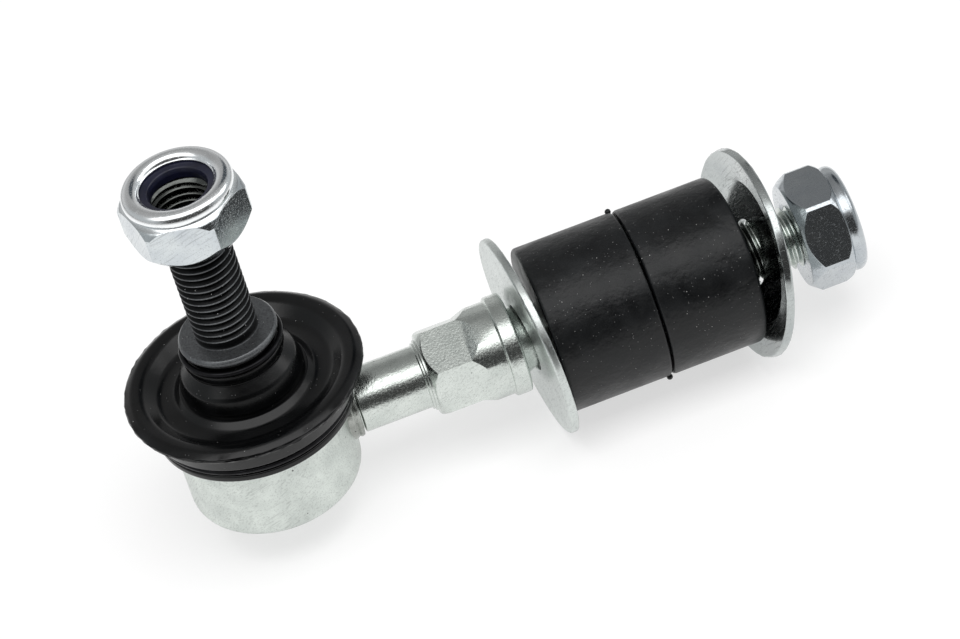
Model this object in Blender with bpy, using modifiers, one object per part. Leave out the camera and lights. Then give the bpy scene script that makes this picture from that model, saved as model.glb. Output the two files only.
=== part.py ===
"""Stabilizer link: a ball joint housing with its stud upright, a rod welded to the housing, and a
pair of rubber bushes between two washers on the rod. A nylon insert nut closes each threaded end.

The origin is the centre of the housing's underside. The stud stands along +Z and the rod runs
along +X. Lengths are in metres.
"""

import bpy
from math import acos, asin, atan, cos, degrees, pi, radians, sin, sqrt, tan
from mathutils import Quaternion, Vector

# Clearances and facets
CLEARANCE = 0.0003
ROUND_STEPS = 36
SMALL_STEPS = 32
RING_SIDES = 6
SHARP_ANGLE = radians(35)

# Ball, its plastic seat and the housing, a turned cup open at both ends
BALL_RADIUS = 0.0075
SEAT_WALL = 0.0030
SEAT_FLOOR = 0.0002
SEAT_HOLE_INSET = 0.0043
HOUSING_WALL = 0.0024
HOUSING_ABOVE_BALL = 0.0068
HOUSING_BOTTOM_EDGE = 0.0020
HOUSING_TOP_EDGE = 0.0008
MOUTH_LIP = 0.0027
MOUTH_LIP_REACH = 0.0026
MOUTH_FLARE = 0.0008
ROLLED_LIP = 0.0008
ROLLED_LIP_REACH = 0.0020

# Closing plate, pressed from sheet, with its middle pushed out flush with the rolled lip
PLATE_THICKNESS = 0.0010
PLATE_SEAT = 0.0005
PRESSED_MARGIN = 0.0037
PRESSED_SLOPE = 0.0009

# Stud: tapered neck, collar and threaded shank
THREAD_RADIUS = 0.00493
THREAD_END_CHAMFER = 0.0006
STUD_THREAD = 0.0213
NECK_TAPER = 0.0013
NECK_TOP_REACH = 0.00067
NECK_STRAIGHT = 0.0040
COLLAR_ABOVE_HOUSING = 0.0129
COLLAR_REACH = 0.0021
COLLAR_TOP_REACH = 0.0017
COLLAR_THICKNESS = 0.0011

# Dust boot: bead round the housing, rib, rolled rim, dished top, dome and neck
BOOT_WALL = 0.0011
BEAD_REACH = 0.0020
BEAD_HEIGHT = 0.0011
GROOVE_DEPTH = 0.0010
RIB_REACH = 0.0025
RIB_ABOVE_HOUSING = 0.00025
RIB_HALF = 0.0006
RIM_REACH = 0.0051
RIM_ABOVE_HOUSING = 0.00445
RIM_ROUND = 0.0007
DISH_BELOW_RIM = 0.00075
DISH_REACH = 0.0052
DOME_REACH = 0.0025
DOME_FOOT_BELOW_RIM = 0.00035
DOME_BELOW_COLLAR = 0.0039
DOME_ROUND = 0.0030
NECK_BAND_REACH = 0.0007
NECK_BAND_BELOW_COLLAR = 0.0025
BOOT_BLEND = 0.0003
WIRE_RADIUS = 0.00045

# Rod, from the weld outwards
ROD_BELOW_BALL = 0.0017
WELD_RADIUS = 0.00525
WELD_LENGTH = 0.0010
WELD_ROUND = 0.0005
ROD_RADIUS = 0.0050
ROD_ROOT_INSET = 0.0008
ROD_LENGTH = 0.0108
ROD_RIM = 0.0002
STEP_RADIUS = 0.00035
STEP_LENGTH = 0.0004
HEX_ACROSS_FLATS = 0.0130
HEX_LENGTH = 0.0089
HEX_SHOULDER_INSET = 0.0012
HEX_CHAMFER = 0.0012
HEX_RUNOUT = 0.0009
HEX_TURN = radians(-7)
AFTER_HEX_LENGTH = 0.0029
FLANGE_REACH = 0.0005
FLANGE_LENGTH = 0.0027
FLANGE_EDGE = 0.0004

# Washers and bushes on the rod
WASHER_RADIUS = 0.0163
WASHER_THICKNESS = 0.0013
WASHER_PLAY = 0.00057
WASHER_EDGE = 0.0003
FLANGE_TO_WASHER = 0.0016
INNER_LEAN_SIDE = radians(4.57)
INNER_LEAN_UP = radians(2.18)
OUTER_LEAN_SIDE = radians(4.84)
OUTER_LEAN_UP = radians(-11.5)
DISH_WIDTH = 0.0048
DISH_DEPTH = 0.0014
BUSH_RADIUS = 0.01336
BUSH_EDGE = 0.0007
BUSH_FREE_EDGE = 0.0014
BUSH_BORE_CHAMFER = 0.0006
INNER_BUSH_LENGTH = 0.01635
OUTER_BUSH_LENGTH = 0.0146

# Nylon insert nuts
NUT_ACROSS_FLATS = 0.0170
NUT_CORNER_CUT = 0.000265
NUT_FACE_INSET = 0.0006
NUT_CHAMFER = 0.0017
NUT_HEX_HEIGHT = 0.0077
NUT_SHOULDER = 0.0020
NUT_COLLAR_INSET = 0.0001
NUT_COLLAR_ROUND = 0.0014
NUT_HEIGHT = 0.00945
NUT_LIP_WIDTH = 0.0014
NUT_LIP_DIP = 0.0008
NUT_LIP_THICKNESS = 0.0011
NUT_LIP_COVER = 0.0012
INSERT_HEIGHT = 0.0023
STUD_NUT_TURN = radians(-15.5)
ROD_NUT_TURN = radians(-28.4)
COLLAR_TO_NUT = 0.0198
WASHER_TO_NUT = 0.00845
THREAD_IN_NUT = 0.0053

UP = Vector((0, 0, 1))
ALONG_ROD = Vector((1, 0, 0))

# Heights and radii of the ball joint, worked out from the ball and what lies round it
PLATE_TOP = ROLLED_LIP + PLATE_THICKNESS + 2 * CLEARANCE
BALL_HEIGHT = PLATE_TOP + SEAT_FLOOR + CLEARANCE + BALL_RADIUS
HOUSING_BORE = BALL_RADIUS + CLEARANCE + SEAT_WALL + CLEARANCE
HOUSING_RADIUS = HOUSING_BORE + HOUSING_WALL
HOUSING_HEIGHT = BALL_HEIGHT + HOUSING_ABOVE_BALL
ROD_HEIGHT = BALL_HEIGHT - ROD_BELOW_BALL
COLLAR_HEIGHT = HOUSING_HEIGHT + COLLAR_ABOVE_HOUSING
STUD_NUT_HEIGHT = COLLAR_HEIGHT + COLLAR_THICKNESS + COLLAR_TO_NUT
NECK_TOP_RADIUS = THREAD_RADIUS + NECK_TOP_REACH
NECK_RADIUS = NECK_TOP_RADIUS - NECK_TAPER

# Radii and heights of the boot, from the housing below and the stud above
BOOT_BOTTOM = ROD_HEIGHT + max(WELD_RADIUS, ROD_RADIUS) + CLEARANCE
BEAD_RADIUS = HOUSING_RADIUS + BEAD_REACH
RIB_RADIUS = HOUSING_RADIUS + RIB_REACH
RIB_HEIGHT = HOUSING_HEIGHT + RIB_ABOVE_HOUSING
RIM_RADIUS = HOUSING_RADIUS + RIM_REACH
RIM_HEIGHT = HOUSING_HEIGHT + RIM_ABOVE_HOUSING
BOOT_NECK_RADIUS = NECK_TOP_RADIUS + CLEARANCE + BOOT_WALL
NECK_BAND_RADIUS = BOOT_NECK_RADIUS + NECK_BAND_REACH
NECK_BAND_HEIGHT = COLLAR_HEIGHT - NECK_BAND_BELOW_COLLAR
DOME_RADIUS = BOOT_NECK_RADIUS + DOME_REACH
DOME_FOOT = RIM_HEIGHT - DOME_FOOT_BELOW_RIM
DOME_TOP = COLLAR_HEIGHT - DOME_BELOW_COLLAR
DISH_RADIUS = BOOT_NECK_RADIUS + DISH_REACH
DISH_HEIGHT = RIM_HEIGHT - DISH_BELOW_RIM

# Places along the rod, each worked out from the one before it
ROD_ROOT_RADIUS = ROD_RADIUS - ROD_ROOT_INSET
HEX_CORNER = HEX_ACROSS_FLATS / 2 / cos(pi / 6)
FLANGE_RADIUS = HEX_CORNER + FLANGE_REACH
WELD_END = HOUSING_RADIUS + WELD_LENGTH
ROD_START = WELD_END + CLEARANCE
HEX_START = ROD_START + ROD_LENGTH + 2 * STEP_LENGTH
HEX_END = HEX_START + HEX_LENGTH
FLANGE_START = HEX_END + AFTER_HEX_LENGTH
FLANGE_END = FLANGE_START + FLANGE_LENGTH
WASHER_BORE = THREAD_RADIUS + WASHER_PLAY
DISH_FLAT_RADIUS = WASHER_RADIUS - DISH_WIDTH


def lean_axis(side, up):
    """The axis of a washer that leans on the rod by two angles."""
    return Vector((1, tan(side), tan(up))).normalized()


def lean_slope(side, up):
    """How far a leaning washer's face runs along the rod for each metre out from its axis."""
    return sqrt(tan(side) ** 2 + tan(up) ** 2)


def dish_at(radius):
    """How far the dished washer's hollow face lies past its rim at this radius."""
    return DISH_DEPTH * min(1, (WASHER_RADIUS - radius) / DISH_WIDTH)


def arc(centre, radius, start, end, count):
    """Points (radius, height) on an arc, both ends included, angles in degrees."""
    for step in range(count + 1):
        angle = radians(start + (end - start) * step / count)
        yield centre[0] + radius * cos(angle), centre[1] + radius * sin(angle)


def washer_clear_of(bush_end):
    """Where the dished washer's rim lies when it leans over the bush's rounded edge."""
    corner = (BUSH_RADIUS - BUSH_FREE_EDGE, bush_end - BUSH_FREE_EDGE)
    edge = arc(corner, BUSH_FREE_EDGE, 90, 0, 6)
    return CLEARANCE + max(at + radius * OUTER_SLOPE - dish_at(radius) for radius, at in edge)


INNER_SLOPE = lean_slope(INNER_LEAN_SIDE, INNER_LEAN_UP)
OUTER_SLOPE = lean_slope(OUTER_LEAN_SIDE, OUTER_LEAN_UP)
BUSH_FACE_RADIUS = BUSH_RADIUS - BUSH_EDGE
INNER_WASHER_AT = FLANGE_END + FLANGE_TO_WASHER
INNER_WASHER_FACE = INNER_WASHER_AT + WASHER_THICKNESS
INNER_BUSH_START = INNER_WASHER_FACE + BUSH_FACE_RADIUS * INNER_SLOPE + CLEARANCE
OUTER_BUSH_START = INNER_BUSH_START + INNER_BUSH_LENGTH + CLEARANCE
OUTER_BUSH_END = OUTER_BUSH_START + OUTER_BUSH_LENGTH
OUTER_WASHER_AT = washer_clear_of(OUTER_BUSH_END)
ROD_NUT_AT = OUTER_WASHER_AT + WASHER_TO_NUT
ROD_END = ROD_NUT_AT + THREAD_IN_NUT
ROD_AXIS = Vector((0, 0, ROD_HEIGHT))
BALL_CENTRE = Vector((0, 0, BALL_HEIGHT))


def clear_scene():
    """Start from an empty scene."""
    for old in list(bpy.data.objects):
        bpy.data.objects.remove(old, do_unlink=True)


def new_collection(name):
    """A collection under the scene's own."""
    made = bpy.data.collections.new(name)
    bpy.context.scene.collection.children.link(made)
    return made


def finish_as(obj, colour, roughness, metallic):
    """Give a part its own material."""
    mat = bpy.data.materials.new(obj.name + "_finish")
    mat.use_nodes = True
    shader = mat.node_tree.nodes["Principled BSDF"]
    shader.inputs["Base Color"].default_value = (*colour, 1)
    shader.inputs["Roughness"].default_value = roughness
    shader.inputs["Metallic"].default_value = metallic
    obj.data.materials.clear()
    obj.data.materials.append(mat)


def turned(name, profile, steps, collection, closed=True):
    """A body of revolution about its own Z axis. A closed profile makes a ring."""
    count = len(profile)
    edges = [(i, i + 1) for i in range(count - 1)]
    if closed:
        edges.append((count - 1, 0))
    mesh = bpy.data.meshes.new(name)
    mesh.from_pydata([(r, 0, h) for r, h in profile], edges, [])
    obj = bpy.data.objects.new(name, mesh)
    collection.objects.link(obj)
    screw = obj.modifiers.new("Turn", "SCREW")
    screw.axis = "Z"
    screw.angle = 2 * pi
    screw.steps = steps
    screw.render_steps = steps
    screw.use_merge_vertices = True
    screw.merge_threshold = 0.00001
    return obj


def place(obj, location, direction=UP, turn=0.0):
    """Stand an object's own Z axis along a direction, turned about it."""
    obj.rotation_mode = "QUATERNION"
    obj.rotation_quaternion = UP.rotation_difference(direction) @ Quaternion(UP, turn)
    obj.location = location
    return obj


def as_cutter(obj):
    """Keep a helper shape out of the render."""
    obj.hide_render = True
    obj.display_type = "WIRE"
    return obj


def combine(obj, other, operation):
    """Boolean with a helper shape."""
    cut = obj.modifiers.new(operation.capitalize(), "BOOLEAN")
    cut.operation = operation
    cut.solver = "EXACT"
    cut.object = other


def settle(obj):
    """Apply the modifiers, then shade the round faces smooth and keep the edges sharp."""
    bpy.context.view_layer.update()
    graph = bpy.context.evaluated_depsgraph_get()
    mesh = bpy.data.meshes.new_from_object(obj.evaluated_get(graph))
    mesh.name = obj.name
    obj.modifiers.clear()
    obj.data = mesh
    mesh.shade_smooth()
    mesh.set_sharp_from_angle(angle=SHARP_ANGLE)


def make_housing(parts):
    """The cup: rounded bottom edge, rolled lip under the plate, and a flared mouth above."""
    plate_bore = HOUSING_BORE + PLATE_SEAT
    lip_bore = plate_bore - ROLLED_LIP_REACH
    mouth = HOUSING_BORE - MOUTH_LIP_REACH
    under_mouth = HOUSING_HEIGHT - MOUTH_LIP
    bottom = (HOUSING_RADIUS - HOUSING_BOTTOM_EDGE, HOUSING_BOTTOM_EDGE)
    top = (HOUSING_RADIUS - HOUSING_TOP_EDGE, HOUSING_HEIGHT - HOUSING_TOP_EDGE)
    profile = [
        (mouth, HOUSING_HEIGHT),
        *arc(top, HOUSING_TOP_EDGE, 90, 0, 2),
        *arc(bottom, HOUSING_BOTTOM_EDGE, 0, -90, 5),
        (lip_bore, 0),
        (lip_bore, ROLLED_LIP),
        (plate_bore, ROLLED_LIP),
        (plate_bore, PLATE_TOP),
        (HOUSING_BORE, PLATE_TOP),
        (HOUSING_BORE, under_mouth),
        (mouth - MOUTH_FLARE, under_mouth),
    ]
    housing = turned("ball_socket_housing", profile, ROUND_STEPS, parts)
    settle(housing)
    finish_as(housing, (0.72, 0.73, 0.72), 0.38, 1.0)


def make_closing_plate(parts):
    """The sheet that closes the cup's underside."""
    edge = HOUSING_BORE + PLATE_SEAT - CLEARANCE
    pressed = edge - PRESSED_MARGIN
    rim_bottom = ROLLED_LIP + CLEARANCE
    profile = [
        (0, PLATE_THICKNESS),
        (pressed - PRESSED_SLOPE, PLATE_THICKNESS),
        (pressed, rim_bottom + PLATE_THICKNESS),
        (edge, rim_bottom + PLATE_THICKNESS),
        (edge, rim_bottom),
        (pressed + PRESSED_SLOPE, rim_bottom),
        (pressed, 0),
        (0, 0),
    ]
    plate = turned("socket_closing_plate", profile, SMALL_STEPS, parts, closed=False)
    settle(plate)
    finish_as(plate, (0.70, 0.71, 0.71), 0.40, 1.0)


def make_ball_seat(parts):
    """The plastic cup that the ball turns in, open above and below."""
    cup = BALL_RADIUS + CLEARANCE
    outer = HOUSING_BORE - CLEARANCE
    top = HOUSING_HEIGHT - MOUTH_LIP - CLEARANCE
    hole = cup - SEAT_HOLE_INSET
    mouth_angle = degrees(asin((top - BALL_HEIGHT) / cup))
    hole_angle = degrees(acos(hole / cup))
    profile = [
        (outer, top),
        (outer, PLATE_TOP),
        (hole, PLATE_TOP),
        *arc((0, BALL_HEIGHT), cup, -hole_angle, mouth_angle, 9),
    ]
    seat = turned("ball_seat", profile, SMALL_STEPS, parts)
    settle(seat)
    finish_as(seat, (0.85, 0.84, 0.80), 0.45, 0.0)


def make_ball_stud(parts):
    """Ball, tapered neck, collar and threaded shank, turned about the ball's centre."""
    neck_angle = degrees(asin(NECK_RADIUS / BALL_RADIUS))
    neck_foot = sqrt(BALL_RADIUS**2 - NECK_RADIUS**2)
    collar = COLLAR_HEIGHT - BALL_HEIGHT
    collar_radius = NECK_TOP_RADIUS + COLLAR_REACH
    seat_face = collar + COLLAR_THICKNESS
    end = seat_face + STUD_THREAD
    profile = [
        (0, end),
        (THREAD_RADIUS - THREAD_END_CHAMFER, end),
        (THREAD_RADIUS, end - THREAD_END_CHAMFER),
        (THREAD_RADIUS, seat_face),
        (NECK_TOP_RADIUS + COLLAR_TOP_REACH, seat_face),
        (collar_radius, collar + COLLAR_THICKNESS / 2),
        (collar_radius, collar),
        (NECK_TOP_RADIUS, collar),
        (NECK_TOP_RADIUS, collar - NECK_STRAIGHT),
        (NECK_RADIUS, neck_foot + NECK_STRAIGHT),
        *list(arc((0, 0), BALL_RADIUS, 90 - neck_angle, -90, 11))[:-1],
        (0, -BALL_RADIUS),
    ]
    stud = turned("ball_stud", profile, ROUND_STEPS, parts, closed=False)
    place(stud, BALL_CENTRE)
    settle(stud)
    finish_as(stud, (0.035, 0.035, 0.038), 0.40, 0.7)


def boot_outer_line():
    """The boot's outside from the neck's top edge to the bead's lower edge."""
    blend = BOOT_BLEND
    band_top = NECK_BAND_HEIGHT + WIRE_RADIUS
    band_bottom = NECK_BAND_HEIGHT - WIRE_RADIUS
    dome_centre = (DOME_RADIUS + blend - DOME_ROUND, DOME_FOOT + 3 * blend)
    rim_centre = (RIM_RADIUS - RIM_ROUND, RIM_HEIGHT)
    groove = BEAD_RADIUS - GROOVE_DEPTH
    rib_top = RIB_HEIGHT + RIB_HALF
    rib_bottom = RIB_HEIGHT - RIB_HALF
    bead_top = BOOT_BOTTOM + BEAD_HEIGHT
    return [
        (BOOT_NECK_RADIUS, COLLAR_HEIGHT - CLEARANCE),
        (BOOT_NECK_RADIUS, band_top + blend),
        (NECK_BAND_RADIUS, band_top),
        (NECK_BAND_RADIUS, band_bottom),
        (NECK_BAND_RADIUS - blend, DOME_TOP),
        *arc(dome_centre, DOME_ROUND, 50, 0, 3),
        (DOME_RADIUS + blend, DOME_FOOT),
        (DISH_RADIUS, DISH_HEIGHT),
        ((DISH_RADIUS + RIM_RADIUS) / 2, DISH_HEIGHT + blend),
        *arc(rim_centre, RIM_ROUND, 110, -50, 5),
        (RIB_RADIUS - blend, RIM_HEIGHT - 2 * GROOVE_DEPTH - blend),
        (RIB_RADIUS - GROOVE_DEPTH, rib_top + blend),
        (RIB_RADIUS, rib_top),
        (RIB_RADIUS, rib_bottom),
        (groove, rib_bottom - blend),
        (groove, bead_top + blend),
        (BEAD_RADIUS, bead_top),
        (BEAD_RADIUS, BOOT_BOTTOM + blend),
        (BEAD_RADIUS - blend, BOOT_BOTTOM),
    ]


def make_dust_boot(parts):
    """The rubber boot as a hollow shell: it grips the housing below and the stud above."""
    grip = HOUSING_RADIUS + CLEARANCE
    stud_grip = NECK_TOP_RADIUS + CLEARANCE
    inside = [
        (grip, BOOT_BOTTOM),
        (grip, HOUSING_HEIGHT + CLEARANCE),
        (RIB_RADIUS - GROOVE_DEPTH - BOOT_WALL, RIB_HEIGHT + 2 * RIB_HALF),
        (RIM_RADIUS - 2 * BOOT_WALL, RIM_HEIGHT - BOOT_WALL),
        (DISH_RADIUS, DISH_HEIGHT - BOOT_WALL),
        (DOME_RADIUS - BOOT_WALL, DOME_FOOT - BOOT_WALL + BOOT_BLEND),
        (DOME_RADIUS - BOOT_WALL - BOOT_BLEND, DOME_FOOT + BOOT_WALL),
        (stud_grip, DOME_TOP - 2 * BOOT_BLEND),
        (stud_grip, COLLAR_HEIGHT - CLEARANCE),
    ]
    boot = turned("dust_boot", boot_outer_line() + inside, ROUND_STEPS, parts)
    settle(boot)
    finish_as(boot, (0.012, 0.012, 0.014), 0.28, 0.0)


def make_wire_ring(name, radius, height, parts):
    """A round wire ring that holds the boot in place."""
    profile = list(arc((radius, 0), WIRE_RADIUS, 90, 90 - 360, RING_SIDES))[:-1]
    ring = turned(name, profile, ROUND_STEPS, parts)
    place(ring, (0, 0, height))
    settle(ring)
    finish_as(ring, (0.05, 0.05, 0.055), 0.35, 0.8)


def make_boot_rings(parts):
    """The lower ring lies in the groove over the bead, the upper one round the boot's neck."""
    outside = CLEARANCE + WIRE_RADIUS
    groove_middle = (RIB_HEIGHT - RIB_HALF + BOOT_BOTTOM + BEAD_HEIGHT) / 2
    make_wire_ring("boot_lower_ring", BEAD_RADIUS - GROOVE_DEPTH + outside, groove_middle, parts)
    neck_middle = NECK_BAND_HEIGHT + WIRE_RADIUS + BOOT_BLEND + outside
    make_wire_ring("boot_upper_ring", BOOT_NECK_RADIUS + outside, neck_middle, parts)


def housing_clearance(cutters):
    """The housing's round wall and the gap round it, which the weld and the rod end against."""
    radius = HOUSING_RADIUS + CLEARANCE
    profile = [(0, HOUSING_HEIGHT), (radius, HOUSING_HEIGHT), (radius, 0), (0, 0)]
    return as_cutter(turned("housing_clearance", profile, ROUND_STEPS * 2, cutters, closed=False))


def make_weld(parts, wall):
    """The upset bead that joins the rod to the housing's side."""
    bore = ROD_ROOT_RADIUS + CLEARANCE
    inside_wall = HOUSING_RADIUS / 2
    corner = (WELD_RADIUS - WELD_ROUND, WELD_END - WELD_ROUND)
    profile = [
        (bore, WELD_END),
        *arc(corner, WELD_ROUND, 90, 0, 3),
        (WELD_RADIUS, inside_wall),
        (bore, inside_wall),
    ]
    weld = turned("weld_bead", profile, SMALL_STEPS, parts)
    place(weld, ROD_AXIS, ALONG_ROD)
    combine(weld, wall, "DIFFERENCE")
    settle(weld)
    finish_as(weld, (0.66, 0.66, 0.65), 0.42, 1.0)


def make_link_rod(parts, cutters, wall):
    """Round bar, stepped shoulder, hexagon, flange and the long shank, turned in one piece."""
    step_foot = HEX_START - 2 * STEP_LENGTH
    first_step = ROD_RADIUS + STEP_RADIUS
    second_step = first_step + STEP_RADIUS
    profile = [
        (0, ROD_END),
        (THREAD_RADIUS - THREAD_END_CHAMFER, ROD_END),
        (THREAD_RADIUS, ROD_END - THREAD_END_CHAMFER),
        (THREAD_RADIUS, FLANGE_END),
        (FLANGE_RADIUS - FLANGE_EDGE, FLANGE_END),
        (FLANGE_RADIUS, FLANGE_END - FLANGE_EDGE),
        (FLANGE_RADIUS, FLANGE_START + FLANGE_EDGE),
        (FLANGE_RADIUS - FLANGE_EDGE, FLANGE_START),
        (HEX_CORNER, FLANGE_START),
        (HEX_CORNER, HEX_START + HEX_CHAMFER),
        (HEX_CORNER - HEX_SHOULDER_INSET, HEX_START),
        (second_step, HEX_START),
        (second_step, HEX_START - STEP_LENGTH),
        (first_step, HEX_START - STEP_LENGTH),
        (first_step, step_foot),
        (ROD_RADIUS, step_foot),
        (ROD_RADIUS, ROD_START + ROD_RIM),
        (ROD_RADIUS - ROD_RIM, ROD_START),
        (ROD_ROOT_RADIUS, ROD_START),
        (ROD_ROOT_RADIUS, HOUSING_RADIUS / 2),
        (0, HOUSING_RADIUS / 2),
    ]
    rod = turned("link_rod", profile, ROUND_STEPS, parts, closed=False)
    place(rod, ROD_AXIS, ALONG_ROD)

    # The flats run out of the round bar: past their length the helper hexagon flares
    flare = (HEX_CORNER / cos(pi / 6) - HEX_CORNER) / HEX_RUNOUT
    flats_end = HEX_END - HEX_RUNOUT
    wide = 4 * FLANGE_RADIUS
    wide_at = flats_end + (wide - HEX_CORNER) / flare
    flats_profile = [
        (0, ROD_END + wide_at),
        (wide, ROD_END + wide_at),
        (wide, wide_at),
        (HEX_CORNER, flats_end),
        (HEX_CORNER, 0),
        (0, 0),
    ]
    flats = as_cutter(turned("rod_flats", flats_profile, 6, cutters, closed=False))
    place(flats, ROD_AXIS, ALONG_ROD, HEX_TURN)
    combine(rod, flats, "INTERSECT")
    combine(rod, wall, "DIFFERENCE")
    settle(rod)
    finish_as(rod, (0.70, 0.71, 0.71), 0.32, 1.0)


def make_inner_washer(parts):
    """The flat washer between the flange and the bushes, leaning a little on the rod."""
    edge = WASHER_EDGE
    half = WASHER_THICKNESS / 2
    profile = [
        (WASHER_RADIUS - edge, half),
        (WASHER_RADIUS, half - edge),
        (WASHER_RADIUS, edge - half),
        (WASHER_RADIUS - edge, -half),
        (WASHER_BORE, -half),
        (WASHER_BORE, half),
    ]
    washer = turned("inner_washer", profile, ROUND_STEPS, parts)
    middle = Vector((INNER_WASHER_AT + half, 0, ROD_HEIGHT))
    place(washer, middle, lean_axis(INNER_LEAN_SIDE, INNER_LEAN_UP))
    settle(washer)
    finish_as(washer, (0.78, 0.79, 0.80), 0.22, 1.0)


def make_outer_washer(parts):
    """The dished washer, hollow side towards the bushes, leaning on the thread."""
    edge = WASHER_EDGE
    slope = atan(DISH_DEPTH / DISH_WIDTH)
    bend = WASHER_THICKNESS * tan(slope / 2)
    rim_out = WASHER_THICKNESS * sin(slope)
    rim_back = WASHER_THICKNESS * cos(slope) - DISH_DEPTH
    profile = [
        (WASHER_BORE, WASHER_THICKNESS),
        (DISH_FLAT_RADIUS + bend, WASHER_THICKNESS),
        (WASHER_RADIUS + rim_out - 2 * edge, rim_back + edge),
        (WASHER_RADIUS + rim_out / 2, (rim_back - DISH_DEPTH) / 2),
        (WASHER_RADIUS, -DISH_DEPTH),
        (DISH_FLAT_RADIUS, 0),
        (WASHER_BORE, 0),
    ]
    washer = turned("outer_washer", profile, ROUND_STEPS, parts)
    middle = Vector((OUTER_WASHER_AT + DISH_DEPTH, 0, ROD_HEIGHT))
    place(washer, middle, lean_axis(OUTER_LEAN_SIDE, OUTER_LEAN_UP))
    settle(washer)
    finish_as(washer, (0.80, 0.81, 0.82), 0.18, 1.0)


def make_bush(name, start, length, far_edge, parts):
    """A rubber cylinder with rounded ends and a bore for the shank."""
    bore = THREAD_RADIUS + CLEARANCE
    low = (BUSH_RADIUS - BUSH_EDGE, BUSH_EDGE)
    high = (BUSH_RADIUS - far_edge, length - far_edge)
    profile = [
        (bore + BUSH_BORE_CHAMFER, length),
        *arc(high, far_edge, 90, 0, 3),
        *arc(low, BUSH_EDGE, 0, -90, 2),
        (bore + BUSH_BORE_CHAMFER, 0),
        (bore, BUSH_BORE_CHAMFER),
        (bore, length - BUSH_BORE_CHAMFER),
    ]
    bush = turned(name, profile, ROUND_STEPS, parts)
    place(bush, ROD_AXIS + start * ALONG_ROD, ALONG_ROD)
    settle(bush)
    finish_as(bush, (0.022, 0.022, 0.023), 0.62, 0.0)


def make_nut(name, location, direction, turn, parts, cutters):
    """Hexagon nut with chamfered corners and a rolled collar that holds the nylon insert."""
    bore = THREAD_RADIUS + CLEARANCE
    half_flats = NUT_ACROSS_FLATS / 2
    corner = half_flats / cos(pi / 6) - NUT_CORNER_CUT
    collar = half_flats - NUT_COLLAR_INSET
    crown = (collar - NUT_COLLAR_ROUND, NUT_HEIGHT - NUT_COLLAR_ROUND)
    lip = crown[0] - NUT_LIP_WIDTH
    insert_radius = lip + NUT_LIP_COVER
    insert_top = NUT_HEIGHT - NUT_LIP_THICKNESS
    insert_bottom = insert_top - INSERT_HEIGHT - 2 * CLEARANCE
    profile = [
        (lip, NUT_HEIGHT - NUT_LIP_DIP),
        *arc(crown, NUT_COLLAR_ROUND, 140, 0, 5),
        (collar, NUT_HEX_HEIGHT),
        (corner, NUT_HEX_HEIGHT - NUT_SHOULDER),
        (corner, NUT_CHAMFER),
        (half_flats - NUT_FACE_INSET, 0),
        (bore + CLEARANCE, 0),
        (bore, CLEARANCE),
        (bore, insert_bottom),
        (insert_radius + CLEARANCE, insert_bottom),
        (insert_radius + CLEARANCE, insert_top),
        (lip, insert_top),
    ]
    nut = turned(name, profile, ROUND_STEPS, parts)
    place(nut, location, direction, turn)
    prism_radius = half_flats / cos(pi / 6)
    prism_profile = [
        (0, 2 * NUT_HEIGHT),
        (prism_radius, 2 * NUT_HEIGHT),
        (prism_radius, -NUT_HEIGHT),
        (0, -NUT_HEIGHT),
    ]
    prism = as_cutter(turned(name + "_flats", prism_profile, 6, cutters, closed=False))
    place(prism, location, direction, turn)
    combine(nut, prism, "INTERSECT")
    settle(nut)
    finish_as(nut, (0.80, 0.81, 0.82), 0.20, 1.0)

    insert_profile = [
        (insert_radius, INSERT_HEIGHT),
        (insert_radius, 0),
        (bore, 0),
        (bore, INSERT_HEIGHT),
    ]
    insert = turned(name + "_insert", insert_profile, SMALL_STEPS, parts)
    place(insert, location + (insert_bottom + CLEARANCE) * direction, direction)
    settle(insert)
    finish_as(insert, (0.03, 0.035, 0.13), 0.35, 0.0)


def main():
    clear_scene()
    parts = new_collection("stabilizer_link")
    cutters = new_collection("cutters")
    make_housing(parts)
    make_closing_plate(parts)
    make_ball_seat(parts)
    make_ball_stud(parts)
    make_dust_boot(parts)
    make_boot_rings(parts)
    wall = housing_clearance(cutters)
    make_weld(parts, wall)
    make_link_rod(parts, cutters, wall)
    make_inner_washer(parts)
    make_bush("inner_bush", INNER_BUSH_START, INNER_BUSH_LENGTH, BUSH_EDGE, parts)
    make_bush("outer_bush", OUTER_BUSH_START, OUTER_BUSH_LENGTH, BUSH_FREE_EDGE, parts)
    make_outer_washer(parts)
    make_nut("stud_nut", Vector((0, 0, STUD_NUT_HEIGHT)), UP, STUD_NUT_TURN, parts, cutters)
    rod_nut_at = ROD_AXIS + ROD_NUT_AT * ALONG_ROD
    make_nut("rod_nut", rod_nut_at, ALONG_ROD, ROD_NUT_TURN, parts, cutters)


main()
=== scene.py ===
# %% [markdown]
# # A stabilizer link, piece by piece
# A stabilizer link ties a car's anti-roll bar to its suspension. This one has a ball joint with its
# stud upright, a rod welded to the joint's housing, and two rubber bushes between washers on the rod.
# The CAD model is loaded first. It moves as the real link does, and it says where every piece goes,
# so each finer piece below is made in the same place and rides on the same body.

# %% Load the CAD model
import bpy
from math import asin, atan2, ceil, cos, degrees, hypot, pi, radians, sin, tan
from mathutils import Matrix, Quaternion, Vector


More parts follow.
